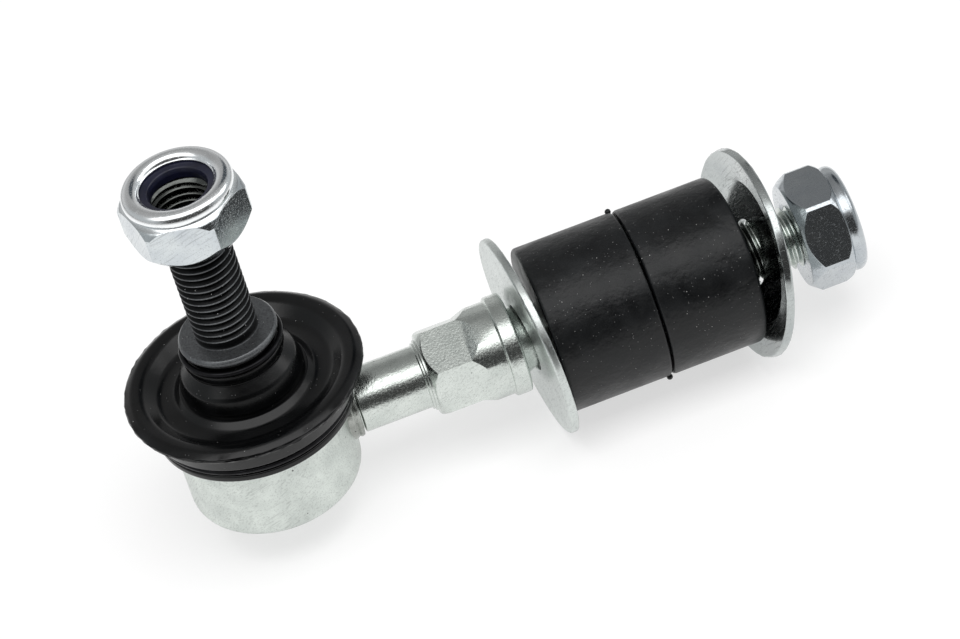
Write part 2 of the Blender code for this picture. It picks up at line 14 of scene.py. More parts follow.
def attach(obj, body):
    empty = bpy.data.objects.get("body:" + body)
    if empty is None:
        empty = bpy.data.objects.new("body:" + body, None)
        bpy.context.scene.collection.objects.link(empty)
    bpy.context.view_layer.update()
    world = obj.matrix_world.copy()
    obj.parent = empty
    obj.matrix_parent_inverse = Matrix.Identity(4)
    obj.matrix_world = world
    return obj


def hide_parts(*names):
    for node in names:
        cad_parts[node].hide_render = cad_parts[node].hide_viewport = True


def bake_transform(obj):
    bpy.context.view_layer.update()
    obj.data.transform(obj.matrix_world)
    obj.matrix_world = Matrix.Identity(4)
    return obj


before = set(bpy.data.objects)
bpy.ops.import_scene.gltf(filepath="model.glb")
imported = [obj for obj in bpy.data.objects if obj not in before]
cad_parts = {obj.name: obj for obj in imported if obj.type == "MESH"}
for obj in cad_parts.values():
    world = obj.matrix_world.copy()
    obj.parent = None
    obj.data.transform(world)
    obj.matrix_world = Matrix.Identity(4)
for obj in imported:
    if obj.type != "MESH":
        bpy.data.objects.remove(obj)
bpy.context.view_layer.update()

# %% [markdown]
# ## Sizes
# Blender works in metres here, but small parts are easier to read in millimetres. All sizes below are
# in millimetres, and one factor turns them into metres. The stud stands along Z above the centre of
# the housing's underside, and the rod runs along X at its own height.

# %% Sizes that several pieces share
MM = 0.001
UP = Vector((0, 0, 1))
ALONG_ROD = Vector((1, 0, 0))
BALL_HEIGHT = 10.4
ROD_HEIGHT = 8.7
HOUSING_RADIUS = 13.5
THREAD_RADIUS = 4.93
THREAD_PITCH = 1.25
THREAD_DEPTH = 0.76
STUD_NUT_HEIGHT = 51.0
ROD_NUT_AT = 86.76
NUT_HALF_WIDTH = 8.5
HEX_CORNER = 7.506
BUSH_RADIUS = 13.36
INNER_BUSH_AT = 45.22
OUTER_BUSH_AT = 61.87
OUTER_BUSH_LENGTH = 15.0
WASHER_RADIUS = 16.3
RING_STEPS = 96

# %% [markdown]
# ## Turning a piece from its outline
# Almost everything here was turned on a lathe, pressed round or moulded round, so one way of
# modelling fits most pieces: draw half of the cross-section, then spin it. A cylinder with edge loops
# would do too, but an outline is easier to compare with a drawing. The outline is drawn as by hand:
# a plane is merged to one point, and that point is extruded from corner to corner.

# %% Round the corners of an outline
def rounded(corners, closed=False):
    """Points along an outline whose corners are (radius, height) or (radius, height, rounding)."""
    line = []
    for place, corner in enumerate(corners):
        here = Vector(corner[:2])
        rounding = corner[2] if len(corner) > 2 else 0
        at_end = not closed and place in (0, len(corners) - 1)
        if rounding == 0 or at_end:
            line.append(tuple(here))
            continue
        back = (Vector(corners[place - 1][:2]) - here).normalized()
        ahead = (Vector(corners[(place + 1) % len(corners)][:2]) - here).normalized()
        half = back.angle(ahead) / 2
        centre = here + (back + ahead).normalized() * rounding / sin(half)
        start = here + back * rounding / tan(half) - centre
        end = here + ahead * rounding / tan(half) - centre
        first = atan2(start.y, start.x)
        sweep = (atan2(end.y, end.x) - first + pi) % (2 * pi) - pi
        parts = max(2, ceil(abs(degrees(sweep)) / 18))
        for part in range(parts + 1):
            angle = first + sweep * part / parts
            line.append((centre.x + rounding * cos(angle), centre.y + rounding * sin(angle)))
    return line


def arc(centre, radius, start, end, count):
    """Points on an arc, both ends included, angles in degrees."""
    angles = [radians(start + (end - start) * part / count) for part in range(count + 1)]
    return [(centre[0] + radius * cos(angle), centre[1] + radius * sin(angle)) for angle in angles]

# %% Draw the outline and spin it
def deselect():
    """Leave edit mode and deselect everything."""
    if bpy.context.mode != "OBJECT":
        bpy.ops.object.mode_set(mode="OBJECT")
    bpy.ops.object.select_all(action="DESELECT")


def draw_outline(name, outline):
    """A line of edges in the XZ plane, made by extruding one point along the outline."""
    deselect()
    bpy.ops.mesh.primitive_plane_add(size=MM, location=(0, 0, 0))
    piece = bpy.context.object
    piece.name = name
    piece.data.name = name
    bpy.ops.object.mode_set(mode="EDIT")
    bpy.ops.mesh.select_mode(type="VERT")
    bpy.ops.mesh.select_all(action="SELECT")
    bpy.ops.mesh.merge(type="CENTER")
    radius, height = outline[0]
    bpy.ops.transform.translate(value=(radius * MM, 0, height * MM))
    for next_radius, next_height in outline[1:]:
        step = ((next_radius - radius) * MM, 0, (next_height - height) * MM)
        bpy.ops.mesh.extrude_region_move(TRANSFORM_OT_translate={"value": step})
        radius, height = next_radius, next_height
    return piece


def merge_points(within=0.001):
    """Merge the points that lie within a distance of each other, and leave all selected."""
    bpy.ops.mesh.select_all(action="SELECT")
    bpy.ops.mesh.remove_doubles(threshold=within * MM)


def turned(name, outline, closed=False, steps=RING_STEPS):
    """A turned piece about the Z axis. A closed outline makes a ring."""
    if closed:
        outline = outline + outline[:1]
    piece = draw_outline(name, outline)
    merge_points()
    bpy.ops.mesh.spin(steps=steps, angle=2 * pi, center=(0, 0, 0), axis=(0, 0, 1))
    merge_points()
    bpy.ops.mesh.normals_make_consistent(inside=False)
    bpy.ops.object.mode_set(mode="OBJECT")
    return piece

# %% [markdown]
# ## Placing, cutting and finishing
# A piece is turned about Z at the origin, then stood along its own axis. The move is applied at once,
# so that the object stays at the origin and its place is in its mesh. Hexagons are cut on turned
# blanks with a Boolean. Real edges are never quite sharp, and punched or moulded rims are never quite
# round, so two more helpers soften edges and roughen rims. Shading comes last, and weighted normals
# keep a large flat looking flat right up to its small rounded edges.

# %% Helpers for placing, cutting and finishing
def make_active(piece):
    """Select one piece alone."""
    deselect()
    piece.select_set(True)
    bpy.context.view_layer.objects.active = piece


def place(piece, location=(0, 0, 0), direction=UP, turn=0.0):
    """Stand a piece's Z axis along a direction, turned about it, and apply the move."""
    make_active(piece)
    piece.rotation_mode = "QUATERNION"
    piece.rotation_quaternion = UP.rotation_difference(direction) @ Quaternion(UP, turn)
    piece.location = Vector(location) * MM
    bpy.ops.object.transform_apply(location=True, rotation=True, scale=True)
    piece.rotation_mode = "XYZ"
    return piece


def combine(piece, helper, operation):
    """Apply a Boolean with a helper shape, and take the helper away."""
    make_active(piece)
    bpy.ops.object.modifier_add(type="BOOLEAN")
    cut = piece.modifiers[-1]
    cut.operation = operation
    cut.solver = "EXACT"
    cut.object = helper
    bpy.ops.object.modifier_apply(modifier=cut.name)
    bpy.data.objects.remove(helper, do_unlink=True)


def soften_edges(piece, width, angle=28, segments=2):
    """Round the edges that are sharper than an angle."""
    make_active(piece)
    bpy.ops.object.modifier_add(type="BEVEL")
    bevel = piece.modifiers[-1]
    bevel.width = width * MM
    bevel.segments = segments
    bevel.limit_method = "ANGLE"
    bevel.angle_limit = radians(angle)
    bevel.use_clamp_overlap = True
    bpy.ops.object.modifier_apply(modifier=bevel.name)


def shade(piece, angle=32):
    """Smooth shading that keeps real edges sharp."""
    make_active(piece)
    bpy.ops.object.shade_smooth_by_angle(angle=radians(angle))


def keep_flats_flat(piece):
    """Let large flat faces look flat right up to their small rounded edges."""
    make_active(piece)
    bpy.ops.object.modifier_add(type="WEIGHTED_NORMAL")
    normals = piece.modifiers[-1]
    normals.keep_sharp = True
    bpy.ops.object.modifier_apply(modifier=normals.name)


def select_where(piece, test):
    """Enter edit mode with only the vertices selected whose place passes a test."""
    make_active(piece)
    bpy.ops.object.mode_set(mode="EDIT")
    bpy.ops.mesh.select_mode(type="VERT")
    bpy.ops.mesh.select_all(action="DESELECT")
    bpy.ops.object.mode_set(mode="OBJECT")
    for vertex in piece.data.vertices:
        vertex.select = test(vertex.co / MM)
    bpy.ops.object.mode_set(mode="EDIT")


def roughen_rim(piece, beyond, amount, seed):
    """Make a turned piece's rim a little uneven, as punching or moulding leaves it."""
    select_where(piece, lambda at: hypot(at.x, at.y) > beyond)
    bpy.ops.transform.vertex_random(offset=amount * MM, seed=seed)
    bpy.ops.object.mode_set(mode="OBJECT")


def finished(piece, body, slot, *nodes):
    """Shade a piece, let it ride on its body and stand for the CAD nodes that it replaces."""
    shade(piece)
    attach(piece, body)
    if nodes:
        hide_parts(*nodes)
    low = [min(v.co[i] for v in piece.data.vertices) / MM for i in range(3)]
    high = [max(v.co[i] for v in piece.data.vertices) / MM for i in range(3)]
    size = " x ".join(f"{b - a:.1f}" for a, b in zip(low, high))
    print(f"{piece.name}: {len(piece.data.polygons)} faces, {size} mm")

# %% [markdown]
# ## Screw threads
# Both shanks carry a rolled metric thread, ten millimetres across with a pitch of 1.25. A bump
# texture would be flat in outline, and the thread is in full view between nut and collar, so it is
# real geometry: the profile of one turn goes up the axis with a Screw modifier. Every thread starts
# on a whole number of turns from zero, so that a nut's thread always meets its bolt's.

# %% Make a length of thread
def thread(name, low, high, grow=0.0):
    """A threaded bar along Z between two heights, with its radius grown by a clearance."""
    crest = THREAD_RADIUS + grow
    root = crest - THREAD_DEPTH
    profile = [
        (root, 0.0),
        (root + 0.03, 0.12),
        (root + 0.12, 0.19),
        (crest - 0.08, 0.50),
        (crest, 0.57),
        (crest, 0.68),
        (crest - 0.08, 0.75),
        (root + 0.12, 1.06),
        (root + 0.03, 1.13),
        (root, THREAD_PITCH),
    ]
    first_turn = int(low / THREAD_PITCH) - 1
    turns = ceil(high / THREAD_PITCH) + 1 - first_turn
    start = first_turn * THREAD_PITCH
    bar = draw_outline(name, [(radius, start + height) for radius, height in profile])
    bpy.ops.object.mode_set(mode="OBJECT")
    bpy.ops.object.modifier_add(type="SCREW")
    screw = bar.modifiers[-1]
    screw.axis = "Z"
    screw.angle = 2 * pi
    screw.screw_offset = THREAD_PITCH * MM
    screw.iterations = turns
    screw.steps = 40
    screw.render_steps = 40
    bpy.ops.object.modifier_apply(modifier=screw.name)
    bpy.ops.object.mode_set(mode="EDIT")
    merge_points(0.002)
    for height, above in ((low, False), (high, True)):
        bpy.ops.mesh.select_all(action="SELECT")
        bpy.ops.mesh.bisect(
            plane_co=(0, 0, height * MM),
            plane_no=UP,
            use_fill=True,
            clear_inner=not above,
            clear_outer=above,
            threshold=0.0000001,
        )
    bpy.ops.mesh.select_all(action="SELECT")
    bpy.ops.mesh.normals_make_consistent(inside=False)
    bpy.ops.object.mode_set(mode="OBJECT")
    return bar

# %% [markdown]
# ## Housing and closing plate
# The housing is a turned steel cup, open above for the stud. A plate closes it from below, and the
# cup's rim is rolled over the plate's edge. Both are outlines with rounded corners.

# %% Turn the housing and its plate
housing = turned("zinc_housing", rounded([
    (8.5, 17.2, 0.3),
    (HOUSING_RADIUS, 17.2, 0.8),
    (HOUSING_RADIUS, 0.0, 2.0),
    (9.6, 0.0, 0.35),
    (9.6, 0.8, 0.2),
    (11.6, 0.8),
    (11.6, 2.4),
    (11.1, 2.4),
    (11.1, 14.5),
    (7.7, 14.5, 0.3),
], closed=True), closed=True)
finished(housing, "link_body", "housing_zinc", "ball_socket_housing")

plate = turned("pressed_closing_plate", rounded([
    (0.0, 1.0),
    (6.7, 1.0, 0.5),
    (7.6, 2.1, 0.3),
    (11.3, 2.1, 0.1),
    (11.3, 1.1, 0.1),
    (8.5, 1.1, 0.3),
    (7.6, 0.0, 0.6),
    (0.0, 0.0),
]))
finished(plate, "link_body", "housing_zinc", "socket_closing_plate")

# %% [markdown]
# ## Ball stud
# One forging: the ball, a tapered neck, a collar that the bracket rests on, and the threaded shank.
# The plain parts are turned. The thread is a second shape, joined with a Boolean, and a cone cut off
# its tip is the chamfer that guides the nut.

# %% Turn the stud and add its thread
ball_reach = 7.5
neck_radius = 4.3
neck_angle = degrees(asin(neck_radius / ball_reach))
stud = turned("black_ball_stud", [
    (0.0, 33.0),
    *rounded([(4.1, 33.0), (4.62, 32.4), (4.62, 31.2, 0.5), (7.25, 31.2, 0.3), (7.6, 30.75, 0.25),
              (7.6, 30.1, 0.25), (5.6, 30.1), (5.6, 26.1, 0.8), (4.3, 20.6), (4.3, 16.6)]),
    *arc((0.0, BALL_HEIGHT), ball_reach, 90 - neck_angle, -90, 24)[:-1],
    (0.0, BALL_HEIGHT - ball_reach),
])
stud_thread = thread("stud_thread", 32.3, 52.5)
tip = turned("stud_tip", [(0, 31.0), (6.2, 31.0), (6.2, 50.6), (4.0, 52.8), (0, 52.8)])
combine(stud_thread, tip, "INTERSECT")
combine(stud, stud_thread, "UNION")
finished(stud, "stud", "black_steel", "ball_stud")

# %% [markdown]
# ## Dust boot
# The boot is one rubber moulding. It must bend when the stud tilts, and the tilt is made of two
# joints, so the mesh is in two pieces that meet in the crease at the dome's foot. Each is a thin
# closed wall, drawn down the outside and up the inside. The skirt's rim is roughened a little, since
# a trimmed rubber edge is never even.

# %% Mould the boot
boot_skirt = turned("rubber_boot_skirt", rounded([
    (9.35, 21.4, 0.1),
    (9.95, 21.35, 0.3),
    (11.0, 20.4, 1.3),
    (13.4, 20.2, 1.6),
    (15.6, 22.3, 1.5),
    (17.3, 22.45, 1.1),
    (18.95, 21.4, 0.5),
    (16.5, 19.9, 0.6),
    (16.15, 17.25, 0.35),
    (14.6, 16.85, 0.2),
    (14.5, 15.6, 0.2),
    (15.5, 15.35, 0.35),
    (15.5, 14.25, 0.3),
    (13.75, 14.25, 0.1),
    (13.75, 17.45, 0.2),
    (14.0, 18.0, 0.3),
    (15.2, 19.2, 0.4),
    (15.2, 20.0, 0.3),
    (13.4, 19.1, 0.8),
    (11.0, 19.4, 0.8),
    (9.35, 20.1, 0.1),
], closed=True), closed=True, steps=128)
roughen_rim(boot_skirt, 18.3, 0.14, 4)
boot_dome = turned("rubber_boot_dome", rounded([
    (7.0, 29.8, 0.25),
    (7.0, 28.35, 0.1),
    (7.75, 28.05, 0.25),
    (7.75, 27.1, 0.2),
    (7.45, 26.35, 0.3),
    (9.0, 24.7, 1.6),
    (9.6, 22.3, 1.0),
    (9.45, 21.3, 0.25),
    (9.3, 20.1, 0.1),
    (8.4, 20.4, 0.2),
    (8.2, 22.3, 0.6),
    (6.4, 25.2, 0.3),
    (5.9, 27.6, 0.3),
    (5.9, 29.8, 0.15),
], closed=True), closed=True, steps=128)
for piece in (boot_skirt, boot_dome):
    shade(piece, 50)
    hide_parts("dust_boot")
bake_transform(boot_skirt)
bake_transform(boot_dome)
print("boot:", len(boot_skirt.data.polygons) + len(boot_dome.data.polygons), "faces")

# %% [markdown]
# ## Wire rings
# A ring of round spring wire lies in the boot's lower groove and another round its neck. Each is
# an open ring: a small circle is drawn as an outline and spun not quite all the way round.

# %% Bend the two wire rings
def wire_ring(name, radius, height, body, node):
    """An open ring of round wire, its two ends cut square and a little apart."""
    wire_radius = 0.45
    section = arc((radius, height), wire_radius, 0, 360, 14)
    ring = draw_outline(name, section)
    merge_points()
    bpy.ops.mesh.edge_face_add()
    bpy.ops.transform.rotate(value=radians(-95), orient_axis="Z", center_override=(0, 0, 0))
    bpy.ops.mesh.spin(steps=RING_STEPS, angle=radians(355), center=(0, 0, 0), axis=(0, 0, 1))
    merge_points()
    bpy.ops.mesh.normals_make_consistent(inside=False)
    bpy.ops.object.mode_set(mode="OBJECT")
    finished(ring, body, "spring_wire", node)
    return ring


lower_wire = wire_ring("lower_wire_ring", 15.2, 16.1, "link_body", "boot_lower_ring")
upper_wire = wire_ring("upper_wire_ring", 7.62, 28.85, "boot_neck", "boot_upper_ring")

# %% [markdown]
# ## Rod and weld
# The rod is welded end-on to the housing's side, and the heat leaves a rolled bead round the joint.
# Then come two small steps, a shoulder, a hexagon for the spanner and a flange, all on one bar. The
# hexagon's flats run out into the round bar in shallow scoops, so the hexagonal helper shape flares
# where the flats end, and the Boolean gives the scoops by itself.

# %% Turn the weld bead and the rod
weld = turned("rolled_weld_bead", rounded([
    (3.5, 11.6),
    (5.45, 11.6),
    (5.45, 13.3, 0.2),
    (5.2, 13.6, 0.1),
    (5.4, 14.0, 0.25),
    (5.25, 14.5, 0.25),
    (4.4, 14.55, 0.1),
    (3.5, 14.5),
], closed=True), closed=True)
place(weld, (0, 0, ROD_HEIGHT), ALONG_ROD)
finished(weld, "link_body", "rod_zinc", "weld_bead")

rod = turned("hexagon_rod", rounded([
    (0.0, 12.0),
    (4.25, 12.0),
    (4.25, 14.8, 0.15),
    (5.0, 14.8, 0.25),
    (5.0, 25.6, 0.12),
    (5.35, 25.6, 0.15),
    (5.35, 26.0, 0.08),
    (5.7, 26.0, 0.15),
    (5.7, 26.4, 0.08),
    (6.3, 26.4, 0.15),
    (HEX_CORNER, 27.6, 0.25),
    (HEX_CORNER, 38.2, 0.12),
    (8.0, 38.3, 0.45),
    (8.0, 40.9, 0.4),
    (5.4, 40.9, 0.4),
    (4.6, 43.0),
    (4.6, 74.5),
    (4.1, 75.5),
    (0.0, 75.5),
]))
flats_end = 33.1
scoop_length = 2.3
flare = (HEX_CORNER / cos(pi / 6) - HEX_CORNER) / scoop_length
wide = 32.0
wide_at = flats_end + (wide - HEX_CORNER) / flare
beyond = 92.0 + wide_at
flats = turned("rod_flats", [
    (0, beyond), (wide, beyond), (wide, wide_at), (HEX_CORNER, flats_end), (HEX_CORNER, 0), (0, 0),
], steps=6)
place(flats, (0, 0, 0), UP, radians(-7))
combine(rod, flats, "INTERSECT")
soften_edges(rod, 0.14)
rod_thread = thread("rod_thread", 74.0, 92.04)
tip = turned("rod_tip", [(0, 73.0), (6.2, 73.0), (6.2, 90.14), (4.0, 92.4), (0, 92.4)])
combine(rod_thread, tip, "INTERSECT")
combine(rod, rod_thread, "UNION")
place(rod, (0, 0, ROD_HEIGHT), ALONG_ROD)
finished(rod, "link_body", "rod_zinc", "link_rod")
keep_flats_flat(rod)

# %% [markdown]
# ## Washers
# The inner washer is flat. The outer one is dished, with its hollow side to the bushes. Both were
# punched from sheet, so one edge is rolled round and the other torn, and their rims are roughened a
# little. They lean on the rod, because nothing clamps them yet.

# %% Turn the washers and lean them
def lean(side, up):
    """The axis of a washer that leans on the rod by two angles in degrees."""
    return Vector((1, tan(radians(side)), tan(radians(up)))).normalized()


inner_washer = turned("flat_inner_washer", rounded([
    (WASHER_RADIUS, 0.65, 0.3),
    (WASHER_RADIUS, -0.65, 0.45),
    (5.5, -0.65, 0.15),
    (5.5, 0.65, 0.25),
], closed=True), closed=True, steps=144)
roughen_rim(inner_washer, 16.0, 0.05, 2)
place(inner_washer, (43.15, 0, ROD_HEIGHT), lean(4.57, 2.18))
finished(inner_washer, "inner_washer", "bright_zinc", "inner_washer")

outer_washer = turned("dished_outer_washer", rounded([
    (5.25, 1.35, 0.1),
    (11.6, 1.35, 1.2),
    (16.65, -0.1, 0.4),
    (WASHER_RADIUS, -1.4, 0.25),
    (11.5, 0.0, 0.5),
    (5.25, 0.0, 0.1),
], closed=True), closed=True, steps=144)
roughen_rim(outer_washer, WASHER_RADIUS, 0.06, 7)
place(outer_washer, (79.71, 0, ROD_HEIGHT), lean(4.84, -11.5))
finished(outer_washer, "outer_washer", "bright_zinc", "outer_washer")

# %% [markdown]
# ## Rubber bushes
# Two moulded rubber cylinders sit end to end. Where the mould closed, two crumbs of rubber are left
# at the edge of the joint between them. The outer bush's far face isn't quite square, so the end's
# vertices are selected by their place and turned together.

# %% Mould the bushes
def lean_end(piece, end, side, up):
    """Tip a bush's far end face by two angles in degrees, about its own middle."""
    select_where(piece, lambda at: at.x > end - 2.0)
    middle = (end * MM, 0, ROD_HEIGHT * MM)
    bpy.ops.transform.rotate(value=radians(-side), orient_axis="Z", center_override=middle)
    bpy.ops.transform.rotate(value=radians(up), orient_axis="Y", center_override=middle)
    bpy.ops.object.mode_set(mode="OBJECT")


def bush(name, start, length, far_edge):
    """A rubber cylinder with rounded ends and a bore, along the rod."""
    piece = turned(name, rounded([
        (5.85, length, 0.3),
        (BUSH_RADIUS, length, far_edge),
        (BUSH_RADIUS, 0.0, 0.6),
        (5.85, 0.0, 0.3),
        (5.25, 0.6, 0.3),
        (5.25, length - 0.6, 0.3),
    ], closed=True), closed=True, steps=128)
    return place(piece, (start, 0, ROD_HEIGHT), ALONG_ROD)


inner_bush = bush("moulded_inner_bush", INNER_BUSH_AT, 16.4, 0.5)
for side in (1, -1):
    deselect()
    bpy.ops.mesh.primitive_ico_sphere_add(
        subdivisions=2, radius=0.5 * MM,
        location=(61.3 * MM, side * 8.8 * MM, (ROD_HEIGHT + side * 10.25) * MM))
    combine(inner_bush, bpy.context.object, "UNION")
outer_bush = bush("moulded_outer_bush", OUTER_BUSH_AT, OUTER_BUSH_LENGTH, 0.7)
lean_end(outer_bush, OUTER_BUSH_AT + OUTER_BUSH_LENGTH, 2.85, -3.23)
finished(inner_bush, "inner_bush", "bush_rubber", "inner_bush")
finished(outer_bush, "outer_bush", "bush_rubber", "outer_bush")
front = max(v.co.x for v in outer_bush.data.vertices if v.co.y < -12.5 * MM) / MM
back = max(v.co.x for v in outer_bush.data.vertices if v.co.y > 12.5 * MM) / MM
print(f"outer bush ends at {front:.2f} in front, {back:.2f} behind")

# %% [markdown]
# ## Nylon insert nuts
# A hexagon nut whose top is a thin collar, rolled inwards over a ring of nylon that grips the
# thread. The blank is turned, and a hexagonal prism cuts the flats, so the curved edges where flats
# meet the chamfers come by themselves. Then a tap, which is a thread a little larger than the
# bolt's, cuts the inside.

# %% Make a nut and its nylon ring
def nylon_nut(name, height, turn, body, node, ring_node, location, direction):
    """A nut whose bearing face is at a height along its own axis, and its ring of nylon."""
    outline = [
        *arc((7.05, 8.02), 1.4, 150, -32, 20),
        *rounded([(8.3, 7.2), (8.95, 6.85, 0.9), (9.6, 5.85)]),
        *rounded([(9.6, 1.85), (8.15, 0.0, 0.25), (5.35, 0.0)]),
        (4.22, 0.95),
        (4.22, 5.2),
        (5.0, 6.0),
        (6.85, 6.0),
        (6.85, 8.1),
        *rounded([(6.3, 8.3), (5.6, 8.25, 0.12), (5.62, 8.5, 0.1), (5.8, 8.65)]),
    ]
    nut = turned(name, [(r, h + height) for r, h in outline], closed=True, steps=120)
    corner = NUT_HALF_WIDTH / cos(pi / 6)
    above, below = height + 20, height - 10
    prism = turned("prism", [(0, above), (corner, above), (corner, below), (0, below)], steps=6)
    place(prism, (0, 0, 0), UP, turn)
    combine(nut, prism, "INTERSECT")
    soften_edges(nut, 0.12)
    combine(nut, thread("tap", height - 0.5, height + 5.9, grow=0.06), "DIFFERENCE")
    place(nut, location, direction)
    finished(nut, body, "bright_zinc", node)
    keep_flats_flat(nut)
    ring = turned(name + "_nylon_ring", [(r, h + height) for r, h in rounded([
        (6.75, 6.1, 0.1),
        (6.75, 8.0, 0.1),
        (6.2, 8.2, 0.1),
        (4.6, 8.0, 0.35),
        (4.35, 7.2, 0.3),
        (4.4, 6.1, 0.2),
    ], closed=True)], closed=True)
    place(ring, location, direction)
    finished(ring, body, "nylon", ring_node)
    return nut, ring


stud_nut, stud_nut_ring = nylon_nut(
    "rolled_stud_nut", STUD_NUT_HEIGHT, radians(-15.5), "stud_nut", "stud_nut", "stud_nut_insert",
    (0, 0, 0), UP)
rod_nut, rod_nut_ring = nylon_nut(
    "rolled_rod_nut", ROD_NUT_AT, radians(-28.4), "rod_nut", "rod_nut", "rod_nut_insert",
    (0, 0, ROD_HEIGHT), ALONG_ROD)

# %% [markdown]
# ## Building materials
# Each finish is a Principled shader with nodes that vary its colour, roughness and bump. A few small
# helpers keep the node trees short to read: one adds any node with its settings and links, and the
# others add the kinds that come most often.

# %% Helpers for nodes
def add(tree, kind, settings=(), **inputs):
    """Add a node. Inputs are numbers, colours or (node, output name) links, named by socket."""
    made = tree.nodes.new(kind)
    for key, value in dict(settings).items():
        setattr(made, key, value)
    for key, value in inputs.items():
        socket = made.inputs[int(key[1:])] if key[1:].isdigit() else made.inputs[key.replace("_", " ")]
        if isinstance(value, tuple) and hasattr(value[0], "outputs"):
            tree.links.new(value[0].outputs[value[1]], socket)
        else:
            socket.default_value = value
    return made


def maths(tree, operation, *values):
    """A Math node on numbers or links."""
    sockets = {f"_{place}": value for place, value in enumerate(values)}
    return add(tree, "ShaderNodeMath", {"operation": operation}, **sockets)


def ranged(tree, value, low, high, start=0.0, end=1.0, easing="LINEAR"):
    """A value that goes from start to end while another goes from low to high."""
    return add(tree, "ShaderNodeMapRange", {"interpolation_type": easing}, Value=value,
               From_Min=low, From_Max=high, To_Min=start, To_Max=end)


def mixed(tree, factor, first, second):
    """Mix two colours by a mask."""
    settings = {"data_type": "RGBA", "blend_type": "MIX"}
    return add(tree, "ShaderNodeMix", settings, _0=factor, _6=first, _7=second)


def new_finish(name):
    """An empty material, its node tree and its Principled shader."""
    material = bpy.data.materials.new(name)
    material.use_nodes = True
    tree = material.node_tree
    return material, tree, tree.nodes["Principled BSDF"]


def cover(material, *pieces):
    """Give a material to pieces."""
    for piece in pieces:
        piece.data.materials.clear()
        piece.data.materials.append(material)
    print(material.name, "on", ", ".join(piece.name for piece in pieces))

# %% [markdown]
# ## Shared effects
# Grain, specks and hairline scratches appear on several finishes, so each is a node group that is
# built once. A group puts out a mask only, and each material decides what the mask does.

# %% Grain, specks and hairlines as node groups
def new_group(name, inputs):
    """A node group with number inputs, a mask output, and its input and output nodes."""
    group = bpy.data.node_groups.new(name, "ShaderNodeTree")
    for label, value in inputs.items():
        socket = group.interface.new_socket(label, in_out="INPUT", socket_type="NodeSocketFloat")
        socket.default_value = value
    group.interface.new_socket("Mask", in_out="OUTPUT", socket_type="NodeSocketFloat")
    return group, group.nodes.new("NodeGroupInput"), group.nodes.new("NodeGroupOutput")


grain, given, out = new_group("fine_grain", {"Scale": 2000.0, "Detail": 3.0, "Low": 0.3, "High": 0.7})
where = add(grain, "ShaderNodeTexCoord")
noise = add(grain, "ShaderNodeTexNoise", Vector=(where, "Object"), Scale=(given, "Scale"),
            Detail=(given, "Detail"))
spread = ranged(grain, (noise, "Fac"), (given, "Low"), (given, "High"))
grain.links.new(spread.outputs["Result"], out.inputs["Mask"])

specks, given, out = new_group("specks", {"Scale": 900.0, "Size": 0.08, "Share": 0.3})
where = add(specks, "ShaderNodeTexCoord")
cells = add(specks, "ShaderNodeTexVoronoi", Vector=(where, "Object"), Scale=(given, "Scale"))
spot = maths(specks, "LESS_THAN", (cells, "Distance"), (given, "Size"))
pick = add(specks, "ShaderNodeSeparateColor", Color=(cells, "Color"))
chosen = maths(specks, "LESS_THAN", (pick, "Red"), (given, "Share"))
both = maths(specks, "MULTIPLY", (spot, "Value"), (chosen, "Value"))
specks.links.new(both.outputs["Value"], out.inputs["Mask"])

line_inputs = {"Scale": 6000.0, "Stretch": 0.05, "Low": 0.58, "High": 0.70}
hairlines, given, out = new_group("hairlines", line_inputs)
where = add(hairlines, "ShaderNodeTexCoord")
squeeze = add(hairlines, "ShaderNodeCombineXYZ", X=(given, "Stretch"), Y=1.0, Z=1.0)
lines = []
for turn in ((0.5, 0.3, 0.4), (0.2, 1.35, 0.9)):
    turned_about = add(hairlines, "ShaderNodeMapping", Vector=(where, "Object"), Rotation=turn)
    along = add(hairlines, "ShaderNodeVectorMath", {"operation": "MULTIPLY"},
                _0=(turned_about, "Vector"), _1=(squeeze, "Vector"))
    streaks = add(hairlines, "ShaderNodeTexNoise", Vector=(along, "Vector"), Scale=(given, "Scale"),
                  Detail=1.0)
    lines.append(ranged(hairlines, (streaks, "Fac"), (given, "Low"), (given, "High")))
crossed = maths(hairlines, "MAXIMUM", (lines[0], "Result"), (lines[1], "Result"))
hairlines.links.new(crossed.outputs["Value"], out.inputs["Mask"])
print("node groups:", [group.name for group in (grain, specks, hairlines)])

# %% [markdown]
# ## Zinc finishes
# Zinc plating comes in six looks here: pale satin on the housing, soft on the inner washer, brushed on
# the rod, marked by heat at the weld, and two bright ones on the nuts and the outer washer. All are
# metal, so the colour is the colour of their reflection, and the difference lies in roughness, grain
# and marks.

# %% A recipe for zinc
def group_node(tree, group, **inputs):
    """Place a shared effect in a material."""
    return add(tree, "ShaderNodeGroup", {"node_tree": group}, **inputs)


def place_of(tree):
    """The place on the object, split into X, Y and Z, and its distance from the stud's axis."""
    where = add(tree, "ShaderNodeTexCoord")
    parts = add(tree, "ShaderNodeSeparateXYZ", Vector=(where, "Object"))
    flat = add(tree, "ShaderNodeCombineXYZ", X=(parts, "X"), Y=(parts, "Y"), Z=0.0)
    reach = add(tree, "ShaderNodeVectorMath", {"operation": "LENGTH"}, _0=(flat, "Vector"))
    return parts, reach


